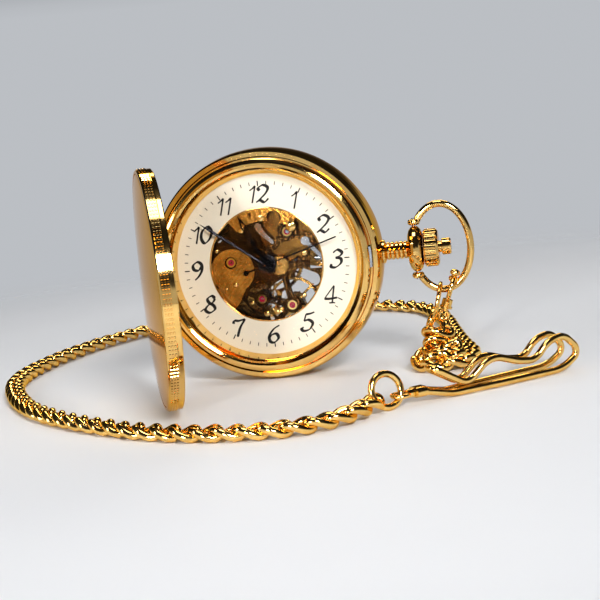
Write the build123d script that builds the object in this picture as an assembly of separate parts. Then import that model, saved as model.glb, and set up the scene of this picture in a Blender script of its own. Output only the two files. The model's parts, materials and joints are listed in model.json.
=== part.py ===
from build123d import *
import os
from math import atan2, cos, degrees, hypot, pi, radians, sin, tan

os.makedirs("parts", exist_ok=True)

# Hunter-case skeleton pocket watch with its curb chain, standing on the rim of its case.
# Frame: origin on the floor under the case axis, +X to the crown, +Y to the watch's back, +Z up.
# The dial faces -Y. Depths are measured along +Y from the dial's front face.

# ---------------------------------------------------------------- driving dimensions, mm
CASE_R = 24.6            # largest radius of the case; the watch stands on it
DIAL_R = 20.2
DIAL_HOLE_R = 12.05      # skeleton window in the dial
DIAL_T = 0.35
BEZEL_R = 22.4
BEZEL_TOP = -3.75
CRYSTAL_R = 20.3
CRYSTAL_FRONT = -2.85
CRYSTAL_BACK = -2.05
RIM_FRONT = -1.9         # front rim of the case middle, under the closed lid
CASE_SEAT = -1.35        # seat of the front bezel
BEZEL_FOOT = -1.37
CASE_BACK = 8.65
BACK_DEPTH = 10.0        # flat rest face of the back bezel
BACK_GLASS_R = 18.95
RING_OUT_R = 18.95       # movement ring
PLATE_R = 18.25
PLATE = (1.5, 2.7)       # main plate, front and back depth
BRIDGE = (6.7, 7.6)      # bridges, front and back depth
BRIDGE_R = 17.9
FOOT_IN_R = 16.3
WINDING = (7.7, 8.1)     # ratchet and crown wheels
STEM_DEPTH = 4.8         # depth of the winding stem, crown and bow pivots

LID_OUT_R = 23.6
LID_IN_R = 22.95
LID_EDGE = -1.95
LID_FLAT = -4.1          # inside face of the closed lid
LID_DOME = -5.95
LID_OPEN = 70.0          # degrees from closed, as modelled
HINGE_X = -24.75
HINGE_DEPTH = -2.75
KNUCKLE_R = 0.8
KNUCKLE_L = 2.6
HINGE_PIN_R = 0.35

NECK_R = 1.9
NECK_X = (24.1, 30.1)
PENDANT_BORE_R = 1.02
BALL_X = (29.9, 33.1)
BALL_R = 4.9
CROWN_X = (33.25, 36.3)
CROWN_R = 4.0
CROWN_FLUTES = 24
BUTTON_X = (36.95, 38.9)
BUTTON_R = 1.75
STEM_R = 0.55
BOW_CENTRE_X = 36.8
BOW_WIRE_R = 0.75
BOW_PIVOT_X = 31.5
BOW_PIVOT_Z = 5.65

CENTRE = (0.0, 0.0)
THIRD = (-7.85, 0.86)
ESCAPE = (-2.0, -7.5)
BALANCE = (4.4, -9.3)
BARREL = (4.9, 6.45)
CROWN_WHEEL = (11.3, 1.9)
MINUTE = (2.55, -0.55)
CLICK = (0.6, 12.2)
PALLET_FROM_ESCAPE = 3.1
ESCAPE_TIP_R = 2.4
BALANCE_R = 5.6

TEETH = dict(barrel=78, centre_pinion=12, centre=80, third_pinion=10, third=75, fourth_pinion=10,
             fourth=80, escape_pinion=8, escape=15, cannon=12, minute=36, minute_pinion=10, hour=40,
             ratchet=42, crown_wheel=32, winding=16)

MINUTE_HAND = (16.5, 307.0)   # tip radius and angle clockwise from 12
HOUR_HAND = (12.1, 335.5)
SECONDS_HAND = (16.4, 73.0)

CHAIN_D = 3.6
CHAIN_POINTS = [
    (35.2, 4.8, 7.9), (34.9, 4.1, 4.2), (31.0, 1.0, 1.9), (30.4, -4.2, 1.9), (35.0, -7.2, 1.9),
    (40.4, -4.4, 1.9), (41.6, 3.4, 1.9), (39.0, 14.0, 1.9), (36.4, 30.0, 1.9), (34.2, 48.0, 1.9),
    (28.6, 69.5, 1.9), (14.0, 80.5, 1.9), (-6.0, 84.5, 1.9), (-27.0, 83.5, 1.9), (-43.5, 75.0, 1.9),
    (-53.0, 60.5, 1.9), (-59.4, 45.5, 1.9), (-63.2, 28.5, 1.9), (-63.3, 10.0, 1.9),
    (-56.5, -7.5, 1.9), (-46.5, -24.0, 1.9), (-30.0, -38.8, 1.9), (-11.5, -50.2, 1.9),
    (7.5, -53.2, 1.9), (20.2, -47.2, 1.9), (23.6, -39.9, 2.2),
]
END_RING_R = 3.1
END_RING_WIRE_R = 0.66
END_RING_LEAN = 0.25     # slope of the ring's axis
CLIP_AT = (30.2, -34.2)
CLIP_TURN = 37.0         # heading of the clip on the floor, degrees from +X
CLIP_WIRE_R = 0.7
SWIVEL_Z = 2.3
SWIVEL_EYE_R = 1.58
SWIVEL_EYE_WIRE_R = 0.4
SWIVEL_EYE_U = -1.6      # eye's centre, along the clip from CLIP_AT

PLATE_SCREW_R = 17.1
PLATE_SCREW_ANGLES = (22, 60, 102, 150, 186, 236, 280, 310)
CASE_SCREW_R = 18.62
CASE_SCREW_ANGLES = (48, 168, 288)
JEWELS = dict(third=(THIRD, 0.24), escape=(ESCAPE, 0.2), balance=(BALANCE, 0.14), barrel=(BARREL, 0.42))
CLASP_X = 38.1           # where the clasp hangs on the bow
CLASP_Z = 15.7
CLASP_DOWN = (-0.347, -0.938)
CLASP_DROP = 0.3         # hook centre below the bow's wire
CLASP_HOOK_R = 2.7

WATCH = Plane(origin=(0, 0, CASE_R), x_dir=(1, 0, 0), z_dir=(0, -1, 0))
PALLET_AIM = atan2(BALANCE[1] - ESCAPE[1], BALANCE[0] - ESCAPE[0])
PALLET = (ESCAPE[0] + PALLET_FROM_ESCAPE * cos(PALLET_AIM),
          ESCAPE[1] + PALLET_FROM_ESCAPE * sin(PALLET_AIM))


# ---------------------------------------------------------------- shape helpers
# Movement parts are drawn as seen on the dial: x to 3 o'clock, y to 12, z towards the viewer.
def save(name, shape):
    export_step(shape, f"parts/{name}.step")


def save_watch(name, shape):
    save(name, WATCH.location * shape)


def turned(outline, rounding=0.0):
    """A ring turned about the watch's axis from (radius, depth) corners."""
    face = make_face(Polyline(*[(r, -depth) for r, depth in outline], close=True))
    if rounding:
        face = fillet(face.vertices(), rounding)
    return revolve(Plane.XZ * face, Axis.Z)


def disc(radius, front, back, at=CENTRE, bore=0.0):
    body = Pos(at[0], at[1], -(front + back) / 2) * Cylinder(radius, back - front)
    if bore:
        body -= Pos(at[0], at[1], -(front + back) / 2) * Cylinder(bore, back - front + 1)
    return body


def slab(sketch, front, back):
    """A flat piece cut from a sketch, between two depths."""
    return extrude(Pos(0, 0, -back) * sketch, back - front)


def polar(radius, angle, about=CENTRE):
    return (about[0] + radius * cos(radians(angle)), about[1] + radius * sin(radians(angle)))


def bearing(a, b):
    """Direction from a to b in degrees."""
    return degrees(atan2(b[1] - a[1], b[0] - a[0]))


def distance(a, b):
    return hypot(b[0] - a[0], b[1] - a[1])


def pitch_radius(a, b, own, other):
    """Pitch radius of the wheel with 'own' teeth on the centre line from a to b."""
    return distance(a, b) * own / (own + other)


def gear_sketch(teeth, pitch_r, at=CENTRE, phase=0.0):
    """Teeth with play; one tooth points along 'phase' degrees."""
    step = 360.0 / teeth
    module = 2 * pitch_r / teeth
    root_r = pitch_r - 1.05 * module
    tip_r = pitch_r + 0.8 * module
    corners = []
    for tooth in range(teeth):
        middle = phase + tooth * step
        corners += [polar(root_r, middle - 0.27 * step, at), polar(tip_r, middle - 0.1 * step, at),
                    polar(tip_r, middle + 0.1 * step, at), polar(root_r, middle + 0.27 * step, at)]
    return make_face(Polyline(*corners, close=True))


def spoke_windows(inner_r, outer_r, arms, arm_w, at=CENTRE, phase=0.0):
    """Openings left between the arms of a wheel."""
    band = Circle(outer_r) - Circle(inner_r)
    for arm in range(arms):
        spoke = Rot(0, 0, phase + 360.0 * arm / arms) * Pos(outer_r / 2, 0) * Rectangle(outer_r + 1, arm_w)
        band -= spoke
    return Pos(at[0], at[1]) * band


def train_wheel(teeth, pitch_r, front, back, at, arms, phase=0.0, hub=0.9, rim=0.7, arm_w=0.45):
    blank = gear_sketch(teeth, pitch_r, at, phase)
    windows = spoke_windows(hub, pitch_r - rim, arms, arm_w, at, phase + 15)
    return slab(blank - windows, front, back)


def pinion(leaves, pitch_r, front, back, at, phase=0.0):
    return slab(gear_sketch(leaves, pitch_r, at, phase), front, back)


def sector(radius, start, end):
    """Pie slice of a disc between two angles."""
    steps = max(2, round((end - start) / 15))
    reach = radius / cos(radians((end - start) / steps / 2)) + 0.1
    rim = [polar(reach, start + (end - start) * i / steps) for i in range(steps + 1)]
    return Circle(radius) & make_face(Polyline(CENTRE, *rim, close=True))


def screw(at, front, back, head_r, head_t, shank_r):
    """Slotted screw seen from its head; the head faces the lower of the two depths."""
    step = 1 if back > front else -1
    inner = front + step * head_t
    head = disc(head_r, min(front, inner), max(front, inner), at)
    slot_at = front + step * head_t / 4
    slot = Pos(at[0], at[1], -slot_at) * Rot(0, 0, 35) * Box(2 * head_r + 0.2, head_r / 4, head_t / 2)
    return (head - slot) + disc(shank_r, min(inner, back), max(inner, back), at)


def hand_outline(tip_r, widths, tail_r, tail_w):
    """Hand pointing up, from (radius, half width) pairs and its tail."""
    right = [(w, r) for r, w in widths]
    left = [(-w, r) for r, w in reversed(widths)]
    return make_face(Polyline((tail_w, -tail_r), *right, (0, tip_r), *left, (-tail_w, -tail_r), close=True))


def rod(start, end, radius):
    """Round bar between two points of the row frame."""
    line = Vector(*end) - Vector(*start)
    place = Plane(origin=Vector(*start) + line * 0.5, z_dir=line)
    return place.location * Cylinder(radius, line.length)


def along_stem(outline):
    """A piece turned about the stem's axis from (x, radius) corners."""
    face = make_face(Polyline(*outline, close=True))
    return Pos(0, STEM_DEPTH, CASE_R) * revolve(face, Axis.X)


def corner_radii(points, share=0.45):
    """Largest tangent arcs that the runs beside each corner allow."""
    radii = []
    for before, here, after in zip(points, points[1:], points[2:]):
        first = Vector(*here) - Vector(*before)
        second = Vector(*after) - Vector(*here)
        half_turn = radians(first.get_angle(second)) / 2
        radii.append(share * min(first.length, second.length) / tan(half_turn))
    return radii


def bent_wire(points, wire_r, radii):
    path = FilletPolyline(*points, radius=radii)
    start = Plane(origin=path @ 0, z_dir=path % 0)
    return sweep(start * Circle(wire_r), path=path), path


# ---------------------------------------------------------------- case
def make_case():
    middle = turned([(20.5, CASE_SEAT), (22.75, CASE_SEAT), (23.0, RIM_FRONT), (23.85, RIM_FRONT),
                     (24.25, -1.1), (24.45, 0.6), (24.56, 2.6), (CASE_R, 4.2), (CASE_R, 5.8),
                     (24.45, 7.2), (24.0, 8.2), (23.5, CASE_BACK), (19.4, CASE_BACK), (19.4, 0.4),
                     (20.5, 0.4)])
    stem_tunnel = Pos(22, 0, -STEM_DEPTH) * Rot(0, 90, 0) * Cylinder(1.05, 9)
    middle -= stem_tunnel
    catch_slot = Pos(22.1, 0, -CASE_SEAT) * Box(1.8, 4.6, 1.0)
    middle = middle - catch_slot
    for side in (-1, 1):
        z_middle = side * (KNUCKLE_L + 0.06)
        leaf = hinge_leaf(HINGE_X, -24.05, KNUCKLE_L, z_middle, (-2.3, -0.7))
        middle += upright(KNUCKLE_R, KNUCKLE_L, z_middle) + leaf
    save_watch("case_middle", middle - upright(HINGE_PIN_R + 0.03, 20))

    bezel = turned([(20.35, BEZEL_FOOT), (20.35, -3.1), (20.65, -3.5), (21.1, BEZEL_TOP),
                    (21.6, BEZEL_TOP), (22.05, -3.55), (22.3, -3.15), (BEZEL_R, -2.6),
                    (BEZEL_R, BEZEL_FOOT)])
    notch = Pos(22.15, 0, 1.8) * Box(1.9, 4.7, 2.6)
    save_watch("front_bezel", bezel - notch)

    save_watch("front_crystal", turned([(0, CRYSTAL_BACK), (CRYSTAL_R, CRYSTAL_BACK),
                                        (CRYSTAL_R, -2.7), (CRYSTAL_R - 0.2, CRYSTAL_FRONT),
                                        (0, CRYSTAL_FRONT)]))
    save_watch("rehaut_ring", turned([(19.3, -0.03), (20.25, -0.03), (20.25, -1.98), (20.05, -1.98),
                                      (19.65, -1.0), (19.3, -0.25)]))
    save_watch("back_bezel", turned([(18.0, 9.6), (19.0, 9.6), (19.0, CASE_BACK + 0.03),
                                     (23.4, CASE_BACK + 0.03), (23.3, 9.0), (22.4, 9.7), (21.8, BACK_DEPTH),
                                     (18.4, BACK_DEPTH), (18.0, 9.8)]))
    save_watch("back_crystal", disc(BACK_GLASS_R, 8.8, 9.55))
    ring = disc(RING_OUT_R, 0.45, 8.0, bore=PLATE_R + 0.05)
    ring -= Pos(18.6, 0, -STEM_DEPTH) * Rot(0, 90, 0) * Cylinder(1.0, 2)
    for angle in CASE_SCREW_ANGLES:
        ring -= disc(0.24, 5, 9, polar(CASE_SCREW_R, angle))
    save_watch("movement_ring", ring)


def hinge_leaf(outer_x, inner_x, length, z_middle, depths):
    front, back = depths
    middle = Pos((outer_x + inner_x) / 2, z_middle, -(front + back) / 2)
    return middle * Box(inner_x - outer_x, length, back - front)


def upright(radius, length, z_middle=0.0):
    """Bar along the hinge line, in the watch's own drawing frame."""
    return Pos(HINGE_X, z_middle, -HINGE_DEPTH) * Rot(90, 0, 0) * Cylinder(radius, length)


def make_hinge_and_lid():
    save_watch("hinge_pin", upright(HINGE_PIN_R, 3 * KNUCKLE_L + 0.6))

    def open_lid(shape):
        hinge_line = Axis((HINGE_X, HINGE_DEPTH, 0), (0, 0, 1))
        return (WATCH.location * shape).rotate(hinge_line, -LID_OPEN)

    shell = turned([(0, LID_FLAT - 1.25), (9.0, LID_FLAT - 1.08), (17.0, LID_FLAT - 0.55),
                    (21.6, LID_FLAT), (LID_IN_R - 0.15, LID_FLAT), (LID_IN_R - 0.15, -4.95), (21.4, -5.1),
                    (17.0, -5.45), (9.0, -5.82), (0, LID_DOME)])
    save("lid_shell", open_lid(shell))
    band = turned([(LID_IN_R, LID_EDGE), (LID_OUT_R - 0.25, LID_EDGE), (LID_OUT_R - 0.05, -2.15),
                   (LID_OUT_R - 0.05, -2.85), (LID_OUT_R, -3.0), (LID_OUT_R, -4.75),
                   (LID_OUT_R - 0.3, -5.0), (LID_IN_R - 0.12, -5.0), (LID_IN_R - 0.12, -3.2),
                   (LID_IN_R, -3.1)])
    band += upright(KNUCKLE_R, KNUCKLE_L) + hinge_leaf(HINGE_X, -23.3, KNUCKLE_L, 0, (-3.5, -2.5))
    save("lid_band", open_lid(band - upright(HINGE_PIN_R + 0.03, 20)))

    catch = disc(22.8, -2.95, -0.95) - disc(21.75, -4, 0)
    catch &= Pos(22.3, 0, 2) * Box(2.5, 4.3, 3)
    save_watch("lid_catch", catch)


# ---------------------------------------------------------------- pendant, bow, crown, stem
def make_pendant():
    """Ridged neck and bow ball, one turned piece, bored for the stem sleeve."""
    ridges = 5
    first_ridge = 25.3
    step = (29.85 - first_ridge) / ridges
    outline = [(NECK_X[0], PENDANT_BORE_R), (NECK_X[0], 2.5), (24.9, 2.5), (first_ridge, 1.6)]
    for ridge in range(ridges):
        x = first_ridge + ridge * step
        outline += [(x + 0.22 * step, NECK_R), (x + 0.68 * step, NECK_R), (x + 0.98 * step, 1.55)]
    middle = (BALL_X[0] + BALL_X[1]) / 2
    half = (BALL_X[1] - BALL_X[0]) / 2
    shoulder_r = 2.6
    for turn in range(0, 181, 20):
        rise = (BALL_R - shoulder_r) * sin(radians(turn))
        outline.append((middle - half * cos(radians(turn)), shoulder_r + rise))
    outline.append((BALL_X[1], PENDANT_BORE_R))
    pendant = along_stem(outline) - WATCH.location * disc(CASE_R, -1, 10)
    sockets = Pos(BOW_PIVOT_X, STEM_DEPTH, CASE_R) * Cylinder(0.52, 14)
    stem_way = Pos(BOW_PIVOT_X, STEM_DEPTH, CASE_R) * Box(3.4, 3, 2.6)
    save("pendant", pendant - (sockets - stem_way))


def bow_path():
    """Oval centre line of the bow, open towards the ball, as tangent arcs."""
    half = [(-5.2, 5.4), (-4.4, 7.9), (0.2, 9.7), (4.7, 7.0)]
    upper = [(BOW_CENTRE_X + dx, STEM_DEPTH, CASE_R + dz) for dx, dz in half]
    side = [(BOW_CENTRE_X + 6.15, STEM_DEPTH, CASE_R + dz) for dz in (2.3, -2.3)]
    lower = [(BOW_CENTRE_X + dx, STEM_DEPTH, CASE_R - dz) for dx, dz in reversed(half)]
    return upper + side + lower


def make_bow():
    bow, path = bent_wire(bow_path(), BOW_WIRE_R, corner_radii(bow_path(), 0.48))
    for side in (-1, 1):
        ear = Pos(BOW_PIVOT_X, STEM_DEPTH, CASE_R + side * BOW_PIVOT_Z) * Cylinder(1.3, 1.25)
        bow += ear
    bow -= Pos(BOW_PIVOT_X, STEM_DEPTH, CASE_R) * Cylinder(0.55, 14)
    bow -= along_stem([(29, 0), (29, 4.98), (33.2, 4.98), (33.2, 0)])
    save("bow", bow)
    pins = [Pos(BOW_PIVOT_X, STEM_DEPTH, CASE_R + side * 4.85) * Cylinder(0.5, 3.3) for side in (-1, 1)]
    save("bow_pins", Compound(pins))
    print("bow wire length", round(path.length, 2))


def make_crown():
    shell = along_stem([(CROWN_X[0], 0.0), (CROWN_X[0], 3.7), (33.6, CROWN_R), (35.8, CROWN_R),
                        (CROWN_X[1], 3.4), (CROWN_X[1], 1.25), (33.95, 1.25), (33.95, 0)])
    for flute in range(CROWN_FLUTES):
        angle = radians(360.0 * flute / CROWN_FLUTES)
        groove = Pos(34.9, STEM_DEPTH + 4.18 * cos(angle), CASE_R + 4.18 * sin(angle))
        shell -= groove * Rot(0, 90, 0) * Cylinder(0.33, 2.7)
    save("crown", shell)
    button = [(34.7, 0), (34.7, 1.2), (BUTTON_X[0], 1.2), (BUTTON_X[0], 1.6), (37.1, BUTTON_R),
              (38.6, BUTTON_R), (BUTTON_X[1], 1.5), (BUTTON_X[1], 0)]
    save("push_button", along_stem(button))
    save("winding_stem", along_stem([(9.9, 0), (9.9, STEM_R), (CROWN_X[0], STEM_R), (CROWN_X[0], 0)]))
    sleeve_in_r = STEM_R + 0.02
    save("stem_sleeve", along_stem([(26.0, sleeve_in_r), (26.0, 0.95), (33.0, 0.95), (33.0, sleeve_in_r)]))


def contrate(teeth, radius, bore_r, x0, x1):
    """Toothed collar on the stem."""
    sketch = gear_sketch(teeth, radius) - Circle(bore_r)
    return Pos(x0, STEM_DEPTH, CASE_R) * Rot(0, 90, 0) * extrude(sketch, x1 - x0)


def make_keyless_works():
    save("winding_pinion", contrate(TEETH["winding"], 2.2, STEM_R + 0.03, 13.2, 14.8))
    clutch = contrate(TEETH["winding"], 1.25, STEM_R + 0.03, 11.2, 13.1)
    groove = along_stem([(11.75, 1.0), (11.75, 2.0), (12.35, 2.0), (12.35, 1.0)])
    save("sliding_clutch", clutch - groove)

    lever = Pos(13.2, 4.6) * Circle(1.1) + Pos(14.2, 2.9) * Rot(0, 0, -60) * Rectangle(4.4, 1.1)
    lever += Pos(11.9, 5.4) * Rot(0, 0, 150) * Rectangle(3.2, 0.9)
    save_watch("setting_lever", slab(lever, 0.7, 1.0) + disc(0.35, 0.6, 2.6, (13.2, 4.6)))
    yoke = Pos(8.6, 4.2) * Circle(0.9) + Pos(10.2, 2.4) * Rot(0, 0, -49) * Rectangle(4.6, 0.8)
    yoke += Pos(11.75, 0.75) * Rectangle(0.75, 1.1)
    finger = Pos(12.05, 0.95, -(1.05 + 3.6) / 2) * Box(0.3, 0.5, 2.55)
    save_watch("clutch_yoke", slab(yoke, 1.05, 1.4) + finger + disc(0.3, 0.95, 2.6, (8.6, 4.2)))
    spring = [polar(r, a) for r, a in ((8.6, 100), (7.6, 103), (6.0, 95), (4.6, 76), (4.4, 66),
                                       (5.1, 68), (6.4, 86), (7.9, 94))]
    spring = make_face(Polyline(*spring, close=True)) + Pos(*polar(8.2, 98)) * Circle(0.7)
    setting = slab(spring, 1.1, 1.45)
    lift = slab((Circle(19.32) - Circle(19.06)) & sector(22, 158, 202), 2.0, 4.0)
    wire = (Circle(14.0) - Circle(13.8)) & sector(16, 84, 118)
    click = slab(wire + Pos(*polar(13.9, 118)) * Circle(0.5), WINDING[0], WINDING[0] + 0.3)
    save_watch("flat_springs", Compound([setting, lift, click]))


# ---------------------------------------------------------------- dial and hands
def make_dial():
    plate = disc(DIAL_R, 0, DIAL_T, bore=DIAL_HOLE_R)
    feet = [disc(0.45, DIAL_T, PLATE[1] - 0.2, polar(16.6, angle)) for angle in (30, 210)]
    save_watch("dial", plate + feet[0] + feet[1])

    def aim(angle):
        return Rot(0, 0, -angle)

    tip, angle = HOUR_HAND
    hour = hand_outline(tip, [(0.0, 0.42), (5.2, 0.3), (6.0, 0.55), (9.4, 0.62), (11.0, 0.2)], 1.9, 0.35)
    hour -= make_face(Polyline((0, 6.2), (0.3, 7.0), (0.34, 9.2), (0, 10.6), (-0.34, 9.2), (-0.3, 7.0),
                               close=True))
    hour = aim(angle) * hour + Circle(0.95)
    save_watch("hour_hand", slab(hour - Circle(0.61), -0.85, -0.7))
    tip, angle = MINUTE_HAND
    minute = hand_outline(tip, [(0.0, 0.34), (8.0, 0.24), (9.0, 0.36), (13.4, 0.3)], 2.6, 0.28)
    minute = aim(angle) * minute + Circle(0.8)
    save_watch("minute_hand", slab(minute - Circle(0.405), -1.3, -1.16))
    tip, angle = SECONDS_HAND
    seconds = hand_outline(tip, [(0.0, 0.14), (10.0, 0.13)], 4.6, 0.22)
    seconds = aim(angle) * (seconds + Pos(0, -4.4) * Circle(0.62)) + Circle(0.6)
    save_watch("seconds_hand", slab(seconds - Circle(0.165), -1.8, -1.66))


# ---------------------------------------------------------------- plates and bridges
def foot(start, end):
    """Wall that stands a bridge on the main plate."""
    return slab(sector(BRIDGE_R, start, end) - Circle(FOOT_IN_R), PLATE[1], BRIDGE[0])


def make_plates():
    plate = Circle(PLATE_R)
    plate -= spoke_windows(2.1, 6.2, 3, 1.7, BARREL, 100)
    plate -= spoke_windows(1.2, 3.3, 3, 0.8, ESCAPE, 35)
    plate -= spoke_windows(1.7, 5.9, 3, 1.3, BALANCE, 100)
    plate -= Pos(8.2, -3.6) * Rot(0, 0, -25) * SlotOverall(5.6, 3.0)
    plate -= Pos(-3.4, 10.4) * Rot(0, 0, 20) * SlotOverall(6.4, 2.2)
    plate -= Pos(-9.2, 7.4) * Rot(0, 0, 50) * SlotOverall(5.0, 1.8)
    plate -= Pos(-6.0, -9.0) * Rot(0, 0, -55) * SlotOverall(4.6, 1.6)
    plate -= Pos(13.6, 0) * Rectangle(9.3, 3.9)
    fork_line = bearing(ESCAPE, BALANCE)
    plate += Pos(*PALLET) * Rot(0, 0, fork_line) * Rectangle(5.6, 1.3)
    holes = [(CENTRE, 0.34), (PALLET, 0.18), ((13.2, 4.6), 0.38), ((8.6, 4.2), 0.33)]
    holes += [(polar(16.6, angle), 0.47) for angle in (30, 210)]
    for at, radius in holes:
        plate -= Pos(*at) * Circle(radius)
    for at, arbor_r in JEWELS.values():
        plate += Pos(*at) * (Circle(1.75) - Circle(1.3))
        plate -= Pos(*at) * Circle(1.0)
    stud = disc(0.2, 0.6, PLATE[1], MINUTE)
    save_watch("main_plate", slab(plate, *PLATE) + stud)

    cover = Pos(-7.6, -0.9) * Circle(4.7) + Pos(-8.4, -5.2) * Rot(0, 0, 60) * SlotOverall(8.6, 5.4)
    cover &= Circle(13.8)
    cover -= Pos(*THIRD) * Circle(1.3)
    cover -= Pos(-7.3, -3.9) * Circle(0.55)
    cover -= Pos(-9.3, -4.6) * Circle(0.4)
    left = slab(cover, 0.95, PLATE[0] - 0.02)
    top = (Circle(13.6) - Circle(9.3)) & sector(15, 52, 128)
    top -= Pos(*polar(11.0, 104)) * Circle(0.5)
    upper = slab(top - Pos(*polar(9.9, 76)) * Circle(1.6), 0.95, 1.25)
    save_watch("dial_side_plates", Compound([left, upper]))

    rings = []
    for at, arbor_r in JEWELS.values():
        rings.append(disc(0.66, PLATE[0] + 0.1, PLATE[1], at, bore=arbor_r))
    chatons = [disc(0.99, PLATE[0] - 0.15, PLATE[1] - 0.1, at, bore=0.67) for at, arbor_r in JEWELS.values()]
    save_watch("jewel_chatons", Compound(chatons))

    barrel_bridge = sector(BRIDGE_R, -12, 128) - Pos(14, 0) * Rectangle(2.0, 3.6) - Pos(*CENTRE) * Circle(2.2)
    barrel_bridge -= Pos(*CROWN_WHEEL) * Circle(0.26)
    barrel_bridge -= Pos(*BARREL) * Circle(1.05)
    barrel_bridge -= Pos(*CLICK) * Circle(0.33)
    train_bridge = sector(BRIDGE_R, 132, 262) + Circle(2.0)
    train_bridge += Pos(*ESCAPE) * Circle(1.6)
    train_bridge &= Circle(BRIDGE_R)
    train_bridge -= spoke_windows(1.6, 5.4, 3, 1.4, THIRD, 60)
    train_bridge -= Pos(*CENTRE) * Circle(0.6)
    for name in ("third", "escape"):
        train_bridge -= Pos(*JEWELS[name][0]) * Circle(0.7)
    cock = sector(BRIDGE_R, 268, 322) - Circle(12.8)
    to_balance = bearing(CENTRE, BALANCE)
    cock += Pos(*polar(11.6, to_balance)) * Rot(0, 0, to_balance) * Rectangle(5.6, 3.4)
    cock += Pos(*BALANCE) * Circle(2.0)
    cock -= Pos(*BALANCE) * Circle(0.6)
    plate_screws = [polar(PLATE_SCREW_R, angle) for angle in PLATE_SCREW_ANGLES]
    bridges = (("barrel_bridge", barrel_bridge, (14, 128)), ("train_bridge", train_bridge, (132, 262)),
               ("balance_cock", cock, (268, 322)))
    for name, sketch, (start, end) in bridges:
        bridge = slab(sketch, *BRIDGE) + foot(start, end)
        if name == "barrel_bridge":
            bridge -= disc(3.35, 7.25, 9, CROWN_WHEEL, bore=2.65)
        for at in plate_screws:
            bridge -= disc(0.36, PLATE[0], 9, at)
            bridge -= disc(0.76, BRIDGE[1] - 0.35, 9, at)
        if name == "balance_cock":
            index = Pos(BALANCE[0] + 1.7, BALANCE[1] - 1.9) * Rot(0, 0, -48) * Rectangle(4, 0.5)
            index += Pos(*BALANCE) * Circle(1.5)
            index -= Pos(*BALANCE) * Circle(0.7)
            bridge = Compound([bridge, slab(index, BRIDGE[1] + 0.02, 7.9)])
        save_watch(name, bridge)
    screws = [screw(at, BRIDGE[1], PLATE[1] + 0.05, 0.72, 0.3, 0.33) for at in plate_screws]
    case_screws = [polar(CASE_SCREW_R, angle) for angle in CASE_SCREW_ANGLES]
    screws += [screw(at, 8.4, 5.5, 0.7, 0.35, 0.22) for at in case_screws]
    screws.append(screw(CROWN_WHEEL, 8.5, 6.75, 1.0, 0.33, 0.24))
    save_watch("movement_screws", Compound(screws))
    bridge_rings = [disc(0.69, BRIDGE[0], BRIDGE[1] - 0.2, JEWELS[name][0], bore=JEWELS[name][1])
                    for name in ("third", "escape")]
    bridge_rings.append(disc(0.59, BRIDGE[0], BRIDGE[1] - 0.2, BALANCE, bore=0.14))
    bridge_rings.append(disc(0.59, BRIDGE[0], BRIDGE[1] - 0.2, CENTRE, bore=0.19))
    save_watch("jewels", Compound(rings + bridge_rings))

    side = PALLET_AIM + pi / 2
    beam = Rot(0, 0, degrees(side)) * SlotOverall(4.6, 1.3)
    pallet_bridge = slab(Pos(*PALLET) * beam, 3.8, 4.15)
    for offset in (-1.75, 1.75):
        leg = (PALLET[0] + offset * cos(side), PALLET[1] + offset * sin(side))
        pallet_bridge += disc(0.4, PLATE[1], 3.8, leg)
    save_watch("pallet_bridge", pallet_bridge - disc(0.18, 3, 5, PALLET))


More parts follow.
